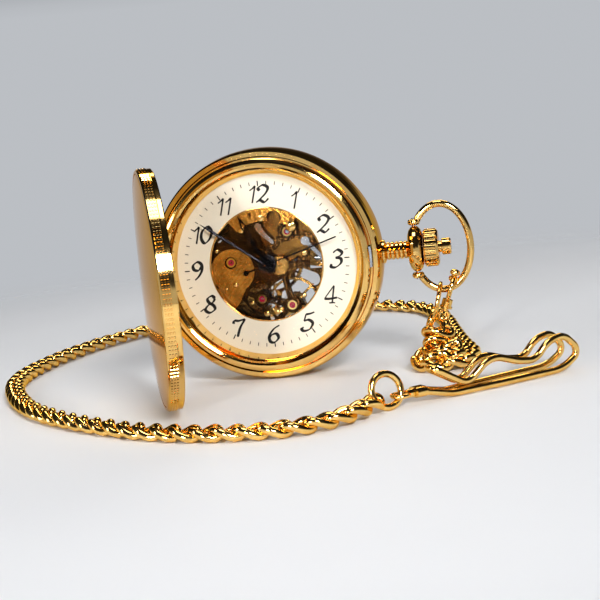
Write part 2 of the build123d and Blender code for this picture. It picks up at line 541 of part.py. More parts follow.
# ---------------------------------------------------------------- going train and escapement
def make_train():
    to_barrel = bearing(BARREL, CENTRE)
    barrel_r = pitch_radius(CENTRE, BARREL, TEETH["barrel"], TEETH["centre_pinion"])
    drum = slab(gear_sketch(TEETH["barrel"], barrel_r, BARREL, to_barrel), 2.9, 3.3)
    drum += disc(6.4, 3.3, 5.15, BARREL)
    drum -= disc(6.0, 3.1, 4.9, BARREL)
    drum -= disc(0.78, 2, 6, BARREL)
    save_watch("mainspring_barrel", drum)
    coils = [slab(Pos(*BARREL) * (Circle(r + 0.09) - Circle(r - 0.09)), 3.2, 4.8)
             for r in (1.6, 2.0, 2.4, 4.3, 4.6, 4.9, 5.2, 5.5, 5.8)]
    save_watch("mainspring", Compound(coils))

    ratchet_r = pitch_radius(BARREL, CROWN_WHEEL, TEETH["ratchet"], TEETH["crown_wheel"])
    crown_r = pitch_radius(BARREL, CROWN_WHEEL, TEETH["crown_wheel"], TEETH["ratchet"])
    mesh = bearing(BARREL, CROWN_WHEEL)
    ratchet = slab(gear_sketch(TEETH["ratchet"], ratchet_r, BARREL, mesh), *WINDING)
    save_watch("ratchet_wheel", ratchet - disc(0.4, 7, 9, BARREL))
    arbor = disc(0.68, 2.8, WINDING[0] - 0.02, BARREL) + disc(0.4, 1.7, 3, BARREL)
    arbor += disc(1.3, 3.15, 4.85, BARREL)
    arbor -= disc(0.41, 6.9, 9, BARREL)
    save_watch("barrel_arbor", Compound([arbor, screw(BARREL, 8.45, 7.0, 1.1, 0.33, 0.38)]))
    half_step = 180.0 / TEETH["crown_wheel"]
    wheel = slab(gear_sketch(TEETH["crown_wheel"], crown_r, CROWN_WHEEL, mesh + 180 + half_step), *WINDING)
    wheel += disc(3.2, 7.3, WINDING[0], CROWN_WHEEL, bore=2.8)
    save_watch("crown_wheel", wheel - disc(0.28, 6, 9, CROWN_WHEEL))

    pinion_r = pitch_radius(CENTRE, BARREL, TEETH["centre_pinion"], TEETH["barrel"])
    centre_r = pitch_radius(CENTRE, THIRD, TEETH["centre"], TEETH["third_pinion"])
    to_third = bearing(CENTRE, THIRD)
    centre = train_wheel(TEETH["centre"], centre_r, 5.4, 5.55, CENTRE, 5, to_third)
    centre += pinion(TEETH["centre_pinion"], pinion_r, 2.85, 3.6, CENTRE,
                     bearing(CENTRE, BARREL) + 180.0 / TEETH["centre_pinion"])
    centre += disc(0.3, -1.4, 5.65, CENTRE)
    save_watch("centre_wheel", centre - disc(0.2, -2, 7, CENTRE))

    third_r = pitch_radius(CENTRE, THIRD, TEETH["third"], TEETH["fourth_pinion"])
    back_to_centre = bearing(THIRD, CENTRE)
    third = train_wheel(TEETH["third"], third_r, 5.85, 6.0, THIRD, 5, back_to_centre)
    third += pinion(TEETH["third_pinion"], distance(CENTRE, THIRD) - centre_r, 5.25, 5.7, THIRD,
                    back_to_centre + 18)
    third += disc(0.45, 2.8, 6.6, THIRD) + disc(0.22, 1.75, 7.3, THIRD)
    save_watch("third_wheel", third)

    fourth_r = pitch_radius(CENTRE, ESCAPE, TEETH["fourth"], TEETH["escape_pinion"])
    to_escape = bearing(CENTRE, ESCAPE)
    fourth = train_wheel(TEETH["fourth"], fourth_r, 6.25, 6.4, CENTRE, 4, to_escape)
    fourth_pinion_r = distance(CENTRE, THIRD) - third_r
    fourth += pinion(TEETH["fourth_pinion"], fourth_pinion_r, 5.75, 6.1, CENTRE, to_third + 18)
    fourth += disc(0.15, -1.9, 7.3, CENTRE)
    save_watch("fourth_wheel", fourth)

    wheel = Circle(0.9) + (Circle(1.95) - Circle(1.55))
    for arm in range(4):
        wheel += Pos(*polar(1.2, 90 * arm + 20)) * Rot(0, 0, 90 * arm + 20) * Rectangle(1.2, 0.28)
    step = 360.0 / TEETH["escape"]
    for tooth in range(TEETH["escape"]):
        angle = tooth * step + degrees(PALLET_AIM) + step / 2
        corners = [polar(1.9, angle - 5), polar(1.9, angle + 5), polar(ESCAPE_TIP_R, angle + 9),
                   polar(ESCAPE_TIP_R, angle + 5)]
        wheel += make_face(Polyline(*corners, close=True))
    escape = slab(Pos(*ESCAPE) * wheel, 3.3, 3.45)
    escape += pinion(TEETH["escape_pinion"], distance(CENTRE, ESCAPE) - fourth_r, 6.15, 6.5, ESCAPE,
                     bearing(ESCAPE, CENTRE) + 22.5)
    escape += disc(0.3, 2.8, 6.6, ESCAPE) + disc(0.18, 1.75, 7.3, ESCAPE)
    save_watch("escape_wheel", escape)

    along = degrees(PALLET_AIM)
    fork = Rot(0, 0, along) * (Pos(1.1, 0) * Rectangle(2.4, 0.45) + Circle(0.55))
    fork += Rot(0, 0, along) * (Pos(2.45, 0) * Rectangle(0.7, 1.1) - Pos(2.7, 0) * Rectangle(0.6, 0.5))
    for side in (-1, 1):
        fork += Rot(0, 0, along + side * 62) * Pos(-1.15, 0) * Rectangle(2.3, 0.4)
    save_watch("pallet_fork", slab(Pos(*PALLET) * fork, 3.25, 3.5) + disc(0.16, 1.75, 4.1, PALLET))

    arms = Circle(0.8)
    for arm in range(3):
        arms += Rot(0, 0, 120 * arm + 40) * Pos(BALANCE_R / 2, 0) * Rectangle(BALANCE_R - 0.6, 0.55)
    weights = Sketch()
    for weight in range(12):
        weights += Rot(0, 0, 30 * weight + 10) * Pos(BALANCE_R, 0) * Rectangle(0.5, 0.36)
    balance = disc(BALANCE_R, 4.45, 5.0, BALANCE, bore=BALANCE_R - 0.6)
    balance += slab(Pos(*BALANCE) * arms, 4.6, 4.85)
    balance += slab(Pos(*BALANCE) * weights, 4.55, 4.9)
    balance += disc(0.3, 2.85, 6.5, BALANCE) + disc(0.12, 1.8, 7.3, BALANCE)
    balance += disc(1.1, 3.85, 4.05, BALANCE)
    balance += disc(0.12, 3.55, 3.9, polar(0.8, along + 180, BALANCE))
    save_watch("balance_wheel", balance)
    turns = 7
    spiral = [polar(0.75 + 1.8 * i / (turns * 12), 30 * i, BALANCE) for i in range(turns * 12 + 1)]
    outer = [polar(0.75 + 1.8 * i / (turns * 12) + 0.07, 30 * i, BALANCE) for i in range(turns * 12 + 1)]
    strip = make_face(Polyline(*spiral, *reversed(outer), close=True))
    collet = Pos(*BALANCE) * (Circle(0.8) - Circle(0.31))
    save_watch("hairspring", slab(strip + collet, 5.4, 5.6))

    minute_r = pitch_radius(CENTRE, MINUTE, TEETH["minute"], TEETH["cannon"])
    cannon_r = pitch_radius(CENTRE, MINUTE, TEETH["cannon"], TEETH["minute"])
    hour_r = pitch_radius(CENTRE, MINUTE, TEETH["hour"], TEETH["minute_pinion"])
    to_minute = bearing(CENTRE, MINUTE)
    cannon = pinion(TEETH["cannon"], cannon_r, 0.85, 1.35, CENTRE, to_minute)
    cannon += disc(0.4, -1.32, 1.35, CENTRE)
    save_watch("cannon_pinion", cannon - disc(0.31, -2, 2, CENTRE))
    motion = slab(gear_sketch(TEETH["minute"], minute_r, MINUTE, to_minute + 180 + 5), 1.0, 1.2)
    minute_pinion_r = distance(CENTRE, MINUTE) - hour_r
    motion += pinion(TEETH["minute_pinion"], minute_pinion_r, 0.5, 1.0, MINUTE, to_minute + 180)
    save_watch("minute_wheel", motion - disc(0.23, 0, 2, MINUTE))
    hour = slab(gear_sketch(TEETH["hour"], hour_r, CENTRE, to_minute + 4.5), 0.55, 0.75)
    hour += disc(0.6, -0.9, 0.6, CENTRE)
    save_watch("hour_wheel", hour - disc(0.44, -2, 2, CENTRE))

    click = Pos(*CLICK) * Circle(0.7) + Pos(1.15, 11.2) * Rot(0, 0, -60) * Rectangle(2.6, 0.6)
    save_watch("click", slab(click, *WINDING) + disc(0.3, 6.75, 7.75, CLICK))


# ---------------------------------------------------------------- clasp, chain, ring and clip
def clasp_point(along, across=0.0):
    """Point of the clasp: along its own length from the bow, and across it towards -Y."""
    return (CLASP_X + CLASP_DOWN[0] * along, STEM_DEPTH - across, CLASP_Z + CLASP_DOWN[1] * along)


def hook_arc(start, end, wire_r):
    """Part of the clasp's round hook; 0 degrees is its lower end and 90 the viewer's side."""
    normal = Vector(CLASP_DOWN[1], 0, -CLASP_DOWN[0])
    centre = Plane(origin=clasp_point(CLASP_DROP), x_dir=(CLASP_DOWN[0], 0, CLASP_DOWN[1]), z_dir=normal)
    section = Plane.XZ * Pos(CLASP_HOOK_R, 0) * Circle(wire_r)
    arc = revolve(section, Axis.Z, end - start)
    return centre.location * Rot(0, 0, start) * arc


def make_clasp():
    hook = hook_arc(70, 335, 0.5) + rod(clasp_point(2.6), clasp_point(4.2), 1.1)
    save("clasp_hook", hook + rod(clasp_point(4.1), clasp_point(4.5), 1.35))
    save("clasp_lever", hook_arc(30, 66, 0.42))
    eye_at = Plane(origin=clasp_point(6.0), z_dir=(0, 1, 0))
    save("clasp_eye", rod(clasp_point(4.55), clasp_point(5.1), 0.6) + eye_at.location * Torus(1.0, 0.35))
    ring_at = Plane(origin=(35.0, STEM_DEPTH, 12.85), x_dir=(0, 1, 0), z_dir=(1, 0, -0.257))
    save("bow_ring", ring_at.location * Torus(4.0, 0.42))


def make_chain():
    radii = corner_radii(CHAIN_POINTS)
    tube, path = bent_wire(CHAIN_POINTS, CHAIN_D / 2, radii)
    save("chain", tube)
    print("chain length", round(path.length, 1))


def make_end_ring():
    """Leaning ring on the floor, its wire through the middle of the clip swivel's eye."""
    slope = hypot(1, END_RING_LEAN)
    centre_z = END_RING_WIRE_R + END_RING_R / slope + 0.05
    drop = (centre_z - SWIVEL_Z) * slope
    centre_u = SWIVEL_EYE_U - (END_RING_R ** 2 - drop ** 2) ** 0.5
    centre_v = drop * END_RING_LEAN / slope
    ring = Plane(origin=(centre_u, centre_v, centre_z), z_dir=(0, -1, END_RING_LEAN))
    save("end_ring", clip_place() * (ring.location * Torus(END_RING_R, END_RING_WIRE_R)))


def clip_place():
    """Where the clip lies: its own frame runs along the rails."""
    return Location((CLIP_AT[0], CLIP_AT[1], 0), (0, 0, CLIP_TURN))


def make_clip():
    """Spring-wire clip: two rails on the floor, turned up at the end into two stepped arms."""
    lane = 1.5
    rail = [(3.2, lane * 0.55, SWIVEL_Z), (9.0, lane, 0.9), (22.0, lane + 0.7, 0.85),
            (34.6, lane + 0.9, 0.85), (39.4, lane + 0.8, 3.6), (35.6, lane + 0.6, 7.4),
            (31.8, lane + 0.5, 6.7), (28.4, lane + 0.4, 3.6), (24.4, lane + 0.3, 4.2),
            (18.2, lane + 0.1, 6.3), (12.6, lane - 0.1, 1.95), (8.6, lane, 4.2), (5.4, lane, 6.1)]
    other = [(u, -v, z) for u, v, z in reversed(rail)]
    points = rail + other
    radii = [min(r, 9.0) for r in corner_radii(points, 0.42)]
    wire, path = bent_wire(points, CLIP_WIRE_R, radii)
    collar = Rot(0, 90, 0) * Rot(0, 0, 90) * extrude(SlotOverall(3.4, 1.9), 2.2)
    head = Pos(1.3, 0, SWIVEL_Z) * collar
    save("spring_clip", clip_place() * (wire + head))
    print("clip wire length", round(path.length, 1))
    post_start = SWIVEL_EYE_U + SWIVEL_EYE_R - SWIVEL_EYE_WIRE_R / 2
    post_end = 1.25
    post_middle = (post_start + post_end) / 2
    post = Pos(post_middle, 0, SWIVEL_Z) * Rot(0, 90, 0) * Cylinder(0.8, post_end - post_start)
    eye = Pos(SWIVEL_EYE_U, 0, SWIVEL_Z) * Torus(SWIVEL_EYE_R, SWIVEL_EYE_WIRE_R)
    save("clip_swivel", clip_place() * (post + eye))


make_case()
make_hinge_and_lid()
make_pendant()
make_bow()
make_crown()
make_keyless_works()
make_dial()
make_plates()
make_train()
make_clasp()
make_chain()
make_end_ring()
make_clip()
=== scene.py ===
"""Looks of a skeleton pocket watch with its curb chain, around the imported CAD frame.

Lengths of the watch and its chain are written in millimetres and turned into metres by MM; the stage and
its lights are in metres. Watch pieces are drawn as seen on the dial (x to 3 o'clock, y to 12) at a depth
behind the dial's face, as in the CAD.
"""
import json
import random
from math import cos, pi, radians, sin

import bmesh
import bpy
from mathutils import Matrix, Vector


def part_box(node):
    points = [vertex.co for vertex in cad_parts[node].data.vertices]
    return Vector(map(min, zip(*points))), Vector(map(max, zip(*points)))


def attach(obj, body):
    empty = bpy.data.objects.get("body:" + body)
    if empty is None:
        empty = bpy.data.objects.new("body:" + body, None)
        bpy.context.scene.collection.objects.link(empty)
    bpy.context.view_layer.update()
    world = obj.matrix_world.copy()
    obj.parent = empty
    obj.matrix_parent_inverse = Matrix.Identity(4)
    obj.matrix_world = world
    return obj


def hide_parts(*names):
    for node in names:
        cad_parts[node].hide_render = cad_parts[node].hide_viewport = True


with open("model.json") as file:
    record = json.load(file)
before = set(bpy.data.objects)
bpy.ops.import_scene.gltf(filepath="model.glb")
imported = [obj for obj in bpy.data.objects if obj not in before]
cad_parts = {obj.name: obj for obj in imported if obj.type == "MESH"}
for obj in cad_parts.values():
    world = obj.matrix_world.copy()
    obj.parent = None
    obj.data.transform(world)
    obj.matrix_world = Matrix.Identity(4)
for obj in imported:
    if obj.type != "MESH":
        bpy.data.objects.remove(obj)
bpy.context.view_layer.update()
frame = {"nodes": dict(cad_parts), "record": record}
nodes = frame["nodes"]

MM = 0.001
CASE_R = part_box("case_middle")[1].z / 2
DIAL_HOLE_R = 12.05
LID_R = 23.6
LID_HINGE = Vector((-24.75, -2.75, 24.6)) * MM
LID_OPEN = radians(70)
STEM_DEPTH = 4.8


# ---------------------------------------------------------------- meshes
END_TAPER = 0.6  # width of a wire or a pen stroke at its very end, against its full width


def finish_mesh(mesh, name, material, smooth=True):
    """Turns a bmesh into a named object of one material."""
    bmesh.ops.recalc_face_normals(mesh, faces=mesh.faces)
    data = bpy.data.meshes.new(name)
    mesh.to_mesh(data)
    mesh.free()
    for face in data.polygons:
        face.use_smooth = smooth
    data.materials.append(material)
    piece = bpy.data.objects.new(name, data)
    bpy.context.scene.collection.objects.link(piece)
    return piece


def ride_new(piece, body):
    """Puts a new piece on a body."""
    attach(piece, body)
    return piece


def on_watch(x, y, depth):
    """Place of a point drawn as seen on the dial, in metres."""
    return Vector((x, depth, y)) * MM + Vector((0, 0, CASE_R))


def clock(radius, angle):
    """Point of the dial at an angle in degrees clockwise from 12."""
    return radius * sin(radians(angle)), radius * cos(radians(angle))


def aimed_matrix(at, direction, axis):
    """Placement at a point, with one of its axes along a direction."""
    return Matrix.Translation(at) @ direction.to_track_quat(axis, "Y").to_matrix().to_4x4()


def circle_turns(count):
    """Angles of evenly spaced points round a circle."""
    return [2 * pi * i / count for i in range(count)]


def join_rings(mesh, low, high):
    """Band of faces between two rings that have the same number of points."""
    for k, corner in enumerate(low):
        after = (k + 1) % len(low)
        mesh.faces.new((corner, low[after], high[after], high[k]))


def join_capped(mesh, rings):
    """Skin over a row of rings, closed flat at both ends."""
    mesh.faces.new(rings[0])
    mesh.faces.new(rings[-1])
    for low, high in zip(rings, rings[1:]):
        join_rings(mesh, low, high)


def join_loop(mesh, rings):
    """Skin over rings that follow each other round a closed loop."""
    for low, high in zip(rings, rings[1:] + rings[:1]):
        join_rings(mesh, low, high)


def lathe(outline, around=96):
    """Ring turned about the watch's axis, from closed (radius, depth) corners."""
    mesh = bmesh.new()
    rows = []
    for i in range(around):
        x, y = clock(1, 360 * i / around)
        rows.append([mesh.verts.new(on_watch(r * x, r * y, depth)) for r, depth in outline])
    join_loop(mesh, rows)
    return mesh


def turned(mesh, place, outline, around=32):
    """Solid turned about the Z axis of a placement, from (radius, height) in mm between its two poles."""
    rings = []
    for r, h in outline:
        circle = [Vector((r * cos(turn), r * sin(turn), h)) * MM for turn in circle_turns(around)]
        rings.append([mesh.verts.new(place @ point) for point in circle])
    join_capped(mesh, rings)


def sweep(mesh, line, radius, section=18):
    """Round wire along a line of points, with rounded ends."""
    rings = []
    up = Vector((0.12, 1.0, 0.05))
    last = len(line) - 1
    for i, point in enumerate(line):
        run = (line[min(i + 1, last)] - line[max(i - 1, 0)]).normalized()
        side = up.cross(run).normalized()
        up = run.cross(side)
        size = radius * (END_TAPER if i in (0, last) else 1.0)
        rings.append([mesh.verts.new(point + (side * cos(turn) + up * sin(turn)) * size)
                      for turn in circle_turns(section)])
    join_capped(mesh, rings)


# ---------------------------------------------------------------- camera
CAMERA_AT = Vector((51.17, -271.7, 56.35)) * MM
CAMERA_YAW = 0.16343
CAMERA_DOWN = 0.14399
CAMERA_ROLL = 0.10744
CAMERA_LENS = 78.76


def make_camera():
    data = bpy.data.cameras.new("camera")
    data.lens = CAMERA_LENS
    data.sensor_width = 36
    data.clip_start = 0.01
    camera = bpy.data.objects.new("camera", data)
    bpy.context.scene.collection.objects.link(camera)
    level = Matrix.Rotation(CAMERA_YAW, 4, "Z") @ Matrix.Rotation(pi / 2 - CAMERA_DOWN, 4, "X")
    camera.matrix_world = Matrix.Translation(CAMERA_AT) @ level @ Matrix.Rotation(-CAMERA_ROLL, 4, "Z")
    bpy.context.scene.camera = camera


# ---------------------------------------------------------------- chain
CHAIN_PITCH = 4.2 * MM
LINK_LENGTH = 7.3 * MM
LINK_WIDTH = 4.5 * MM
LINK_WIRE = 1.56 * MM
LINK_TWIST = radians(56)
LINK_TILT = 4  # most that a link rolls off the chain's twist, in degrees
LINK_SEED = 4
CHAIN_ROUTE = [
    (34.1, 4.8, 9.6), (34.7, 4.3, 4.4), (31.0, 1.0, 1.9), (30.4, -4.2, 1.6), (35.0, -7.2, 1.6),
    (40.4, -4.4, 1.6), (41.6, 3.4, 1.6), (39.0, 14.0, 1.6), (36.4, 30.0, 1.6), (34.2, 48.0, 1.6),
    (28.6, 69.5, 1.6), (14.0, 80.5, 1.6), (-6.0, 84.5, 1.6), (-27.0, 83.5, 1.6), (-43.5, 75.0, 1.6),
    (-53.0, 60.5, 1.6), (-59.4, 45.5, 1.6), (-63.2, 28.5, 1.6), (-63.3, 10.0, 1.6),
    (-56.5, -7.5, 1.6), (-46.5, -24.0, 1.6), (-30.0, -38.8, 1.6), (-11.5, -50.2, 1.6),
    (7.5, -53.2, 1.6), (20.2, -47.2, 1.7), (24.9, -37.8, 2.3),
]

# Links bunched up under the clasp: place, heading and lean in degrees.
HEAP_LINKS = [
    (34.6, 3.4, 6.6, 10, 8), (34.3, 3.0, 5.2, 35, -6), (34.8, 2.2, 3.9, -15, 5), (36.6, 0.2, 3.4, 40, -12),
    (33.4, -0.6, 3.2, 120, 8), (36.2, -3.0, 2.9, 15, 6), (38.4, -1.2, 2.6, 75, -5), (33.8, -3.2, 2.6, 60, 0),
]


def spline_line(name, route, resolution=16):
    """Points along the smooth NURBS curve that has the route as its control points."""
    curve = bpy.data.curves.new(name, "CURVE")
    curve.dimensions = "3D"
    spline = curve.splines.new("NURBS")
    spline.points.add(len(route) - 1)
    for point, at in zip(spline.points, route):
        point.co = (*(value * MM for value in at), 1)
    spline.order_u = 3
    spline.use_endpoint_u = True
    spline.resolution_u = resolution
    holder = bpy.data.objects.new(name, curve)
    line = bpy.data.meshes.new_from_object(holder)
    points = [vertex.co.copy() for vertex in line.vertices]
    bpy.data.objects.remove(holder)
    return points


def line_length(points):
    return sum((b - a).length for a, b in zip(points, points[1:]))


def stations(points, spacing):
    """Places along a line, a whole number of them about 'spacing' apart, each with its direction."""
    whole = line_length(points)
    step = whole / round(whole / spacing) * 0.99999  # a hair short, so that rounding never drops the last
    found = []
    walked, target = 0.0, step / 2
    for a, b in zip(points, points[1:]):
        run = (b - a).length
        while run and walked + run >= target:
            found.append((a.lerp(b, (target - walked) / run), (b - a).normalized()))
            target += step
        walked += run
    return found


def link_rings(around=30, section=12):
    """Cross-section rings of one curb link: an oval loop, twisted end to end."""
    half_l = (LINK_LENGTH - LINK_WIRE) / 2
    half_w = (LINK_WIDTH - LINK_WIRE) / 2

    def centre(turn):
        along = half_l * cos(turn)
        across = half_w * sin(turn)
        roll = LINK_TWIST * cos(turn)
        return Vector((along, across * cos(roll), across * sin(roll)))

    rings = []
    for turn in circle_turns(around):
        here = centre(turn)
        forward = (centre(turn + 0.05) - centre(turn - 0.05)).normalized()
        side = forward.cross(here.normalized()).normalized()
        out = side.cross(forward)
        rings.append([here + (out * cos(a) + side * sin(a)) * (LINK_WIRE / 2)
                      for a in circle_turns(section)])
    return rings


def add_link(mesh, rings, place):
    join_loop(mesh, [[mesh.verts.new(place @ co) for co in ring] for ring in rings])


def axes_matrix(at, x_axis):
    """Placement whose X runs along x_axis and whose Z stays as near to upright as it can."""
    x_axis = x_axis.normalized()
    y_axis = Vector((0, 0, 1)).cross(x_axis)
    if y_axis.length < 1e-4:
        y_axis = Vector((0, 1, 0))
    y_axis.normalize()
    z_axis = x_axis.cross(y_axis)
    turn = Matrix((x_axis, y_axis, z_axis)).transposed().to_4x4()
    return Matrix.Translation(at) @ turn


def make_chain(material):
    line = spline_line("chain_line", CHAIN_ROUTE)
    chance = random.Random(LINK_SEED)
    mesh = bmesh.new()
    rings = link_rings()
    for at, forward in stations(line, CHAIN_PITCH):
        tilt = Matrix.Rotation(radians(chance.uniform(-LINK_TILT, LINK_TILT)), 4, "X")
        add_link(mesh, rings, axes_matrix(at, forward) @ tilt)
    chain = finish_mesh(mesh, "chain_links", material)
    heap = bmesh.new()
    for x, y, z, heading, lean in HEAP_LINKS:
        place = Matrix.Translation(Vector((x, y, z)) * MM) @ Matrix.Rotation(radians(heading), 4, "Z")
        add_link(heap, rings, place @ Matrix.Rotation(radians(lean), 4, "Y"))
    ride_new(finish_mesh(heap, "chain_heap", material), "case")
    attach(chain, "case")
    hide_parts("chain")


# ---------------------------------------------------------------- dial
def pen_line(points, curved, steps=7):
    """Smooth line through drawn points."""
    if not curved or len(points) < 3:
        return [Vector(point) for point in points]
    ends = [points[0], *points, points[-1]]
    line = []
    for before, a, b, after in zip(ends, ends[1:], ends[2:], ends[3:]):
        before, a, b, after = Vector(before), Vector(a), Vector(b), Vector(after)
        for i in range(steps):
            t = i / steps
            line.append(0.5 * (2 * a + (b - before) * t + (2 * before - 5 * a + 4 * b - after) * t * t
                               + (3 * a - before - 3 * b + after) * t ** 3))
    return line + [Vector(points[-1])]


def draw_pen(mesh, line, thin, thick):
    """Ribbon of ink along a line, widest where the line crosses the nib's angle."""
    rims = []
    last = len(line) - 1
    for i, point in enumerate(line):
        run = (line[min(i + 1, last)] - line[max(i - 1, 0)]).normalized()
        half = (thin + (thick - thin) * abs(run.x * sin(NIB_ANGLE) - run.y * cos(NIB_ANGLE))) / 2
        if i in (0, last):
            half *= END_TAPER
        side = Vector((-run.y, run.x)) * half
        rims.append([mesh.verts.new(on_watch(*edge, PRINT_DEPTH)) for edge in (point + side, point - side)])
    for (a, b), (c, d) in zip(rims, rims[1:]):
        mesh.faces.new((a, b, d, c))


# Strokes of each figure in a box one unit high; True marks a curved stroke.
FIGURES = {
    "0": [(True, [(0.34, 1.0), (0.08, 0.72), (0.04, 0.3), (0.24, 0.0), (0.5, 0.26), (0.56, 0.7),
                  (0.34, 1.0)])],
    "1": [(True, [(0.02, 0.74), (0.18, 0.86), (0.3, 1.0)]), (False, [(0.3, 1.0), (0.2, 0.0)])],
    "2": [(True, [(0.16, 0.7), (0.06, 0.84), (0.3, 1.0), (0.56, 0.84), (0.5, 0.56), (0.24, 0.24),
                  (0.0, 0.02)]),
          (True, [(0.0, 0.02), (0.2, 0.12), (0.44, 0.0), (0.64, 0.2)])],
    "3": [(True, [(0.12, 0.84), (0.34, 1.0), (0.58, 0.82), (0.48, 0.62), (0.26, 0.54)]),
          (True, [(0.26, 0.54), (0.54, 0.46), (0.56, 0.2), (0.3, -0.02), (0.06, 0.04), (0.08, 0.2)])],
    "4": [(False, [(0.46, 1.0), (0.0, 0.26)]), (True, [(0.0, 0.26), (0.3, 0.24), (0.68, 0.28)]),
          (False, [(0.46, 1.0), (0.42, -0.04)]), (False, [(0.26, 0.0), (0.58, -0.02)])],
    "5": [(True, [(0.2, 0.96), (0.42, 0.98), (0.64, 1.06)]), (False, [(0.2, 0.96), (0.12, 0.56)]),
          (True, [(0.12, 0.56), (0.36, 0.62), (0.58, 0.4), (0.44, 0.06), (0.14, -0.02), (0.0, 0.12),
                  (0.12, 0.2)])],
    "6": [(True, [(0.58, 1.0), (0.28, 0.8), (0.06, 0.4), (0.14, 0.06), (0.36, 0.0), (0.56, 0.24),
                  (0.44, 0.5), (0.2, 0.46), (0.08, 0.3)])],
    "7": [(True, [(0.02, 0.74), (0.06, 0.92), (0.3, 0.9), (0.64, 0.98)]),
          (True, [(0.64, 0.98), (0.4, 0.5), (0.28, -0.06)])],
    "8": [(True, [(0.52, 0.84), (0.34, 1.0), (0.12, 0.84), (0.22, 0.6), (0.46, 0.42), (0.54, 0.18),
                  (0.28, 0.0), (0.04, 0.18), (0.16, 0.44), (0.42, 0.62), (0.52, 0.84)])],
    "9": [(True, [(0.5, 0.72), (0.36, 0.5), (0.12, 0.56), (0.06, 0.82), (0.28, 1.0), (0.5, 0.84),
                  (0.54, 0.5), (0.4, 0.16), (0.2, -0.06)])],
}
FIGURE_H = 3.6
FIGURE_WIDEN = 1.14
FIGURE_SLANT = 0.16
FIGURE_R = 15.0
FIGURE_STEP = 0.7
NARROW_STEP = 0.46
PEN_THIN = 0.28
PEN_THICK = 0.74
NIB_ANGLE = radians(30)
PRINT_DEPTH = -0.03

# Inner radius, outer radius and width of the strokes at the hours and at the minutes.
HOUR_TICK = (16.7, 17.8, 0.42)
MINUTE_TICK = (16.95, 17.7, 0.28)


def make_dial_print(ink):
    mesh = bmesh.new()
    for hour in range(1, 13):
        text = str(hour)
        centre = Vector(clock(FIGURE_R, hour * 30))
        widths = [NARROW_STEP if figure == "1" else FIGURE_STEP for figure in text]
        start = -sum(widths) / 2
        for figure, width in zip(text, widths):
            for curved, stroke in FIGURES[figure]:
                line = [Vector((centre.x + (start + x * FIGURE_WIDEN + FIGURE_SLANT * (y - 0.5)) * FIGURE_H,
                                centre.y + (y - 0.5) * FIGURE_H)) for x, y in pen_line(stroke, curved)]
                draw_pen(mesh, line, PEN_THIN, PEN_THICK)
            start += width
    for minute in range(60):
        inner, outer, width = MINUTE_TICK if minute % 5 else HOUR_TICK
        line = [Vector(clock(inner, minute * 6)), Vector(clock(outer, minute * 6))]
        draw_pen(mesh, line, width, width)
    ride_new(finish_mesh(mesh, "dial_print", ink, smooth=False), "case")


def make_dial_rim(material):
    """Gold edge round the dial's open centre."""
    rim = lathe([(DIAL_HOLE_R - 0.12, 0.3), (DIAL_HOLE_R - 0.12, -0.05), (DIAL_HOLE_R, -0.14),
                 (DIAL_HOLE_R + 0.2, -0.08), (DIAL_HOLE_R + 0.24, 0.0)])
    ride_new(finish_mesh(rim, "dial_hole_rim", material), "case")


# ---------------------------------------------------------------- hands and movement
# Each hand: its angle on the dial, the depth that its ridge stands on, and (radius, half width) along it.
MINUTE_HAND = (307, -1.31, [(0.9, 0.30), (8.0, 0.22), (9.0, 0.33), (13.4, 0.26), (16.4, 0.03)])
SECONDS_HAND = (73, -1.81, [(0.7, 0.20), (10.0, 0.17), (16.3, 0.13)])
MINUTE_RIDGE = 0.12
SECONDS_RIDGE = 0.07


def ridged_blade(name, body, hand, ridge, material):
    """Roof-shaped top of a hand."""
    angle, depth, outline = hand
    mesh = bmesh.new()
    across = Vector(clock(1, angle + 90))
    rows = []
    for radius, half in outline:
        middle = Vector(clock(radius, angle))
        rows.append([mesh.verts.new(on_watch(*(middle - across * half), depth)),
                     mesh.verts.new(on_watch(*middle, depth - ridge)),
                     mesh.verts.new(on_watch(*(middle + across * half), depth))])
    join_capped(mesh, rows)
    ride_new(finish_mesh(mesh, name, material, smooth=False), body)


def make_blades(material):
    ridged_blade("minute_blade", "centre", MINUTE_HAND, MINUTE_RIDGE, material)
    ridged_blade("seconds_blade", "fourth", SECONDS_HAND, SECONDS_RIDGE, material)


# Domed heads on the dial side of the movement: x, y, front depth, back depth, radius, finish.
DIAL_SIDE_HEADS = [
    (5.9, 7.5, 0.55, 1.5, 1.2, "setting_gold"), (-4.9, 7.7, 0.95, 1.5, 0.75, "setting_gold"),
    (-0.4, 9.9, 0.5, 0.95, 0.8, "setting_gold"), (8.2, 1.6, 0.9, 1.5, 0.62, "setting_gold"),
    (6.2, 0.3, 0.9, 1.5, 0.5, "polished_dark"), (-7.3, -3.9, 0.7, 1.4, 0.5, "setting_gold"),
    (-9.3, -4.6, 0.75, 1.4, 0.34, "setting_gold"), (-4.1, -8.1, 1.0, 1.5, 0.42, "setting_gold"),
    (7.2, -7.4, 0.8, 1.5, 0.55, "setting_gold"), (-1.2, -10.7, 0.8, 1.5, 0.7, "setting_gold"),
    (-10.6, 3.6, 0.8, 1.5, 0.45, "setting_gold"),
]
HEAD_MATERIALS = {"setting_gold": "setting_gold", "polished_dark": "dark_steel"}

# Profile of a domed head of radius 1 and height 1, from its foot to its top.
HEAD_PROFILE = [(1.0, 0.0), (1.0, 0.45), (0.93, 0.7), (0.75, 0.88), (0.45, 0.98), (0.2, 1.0)]


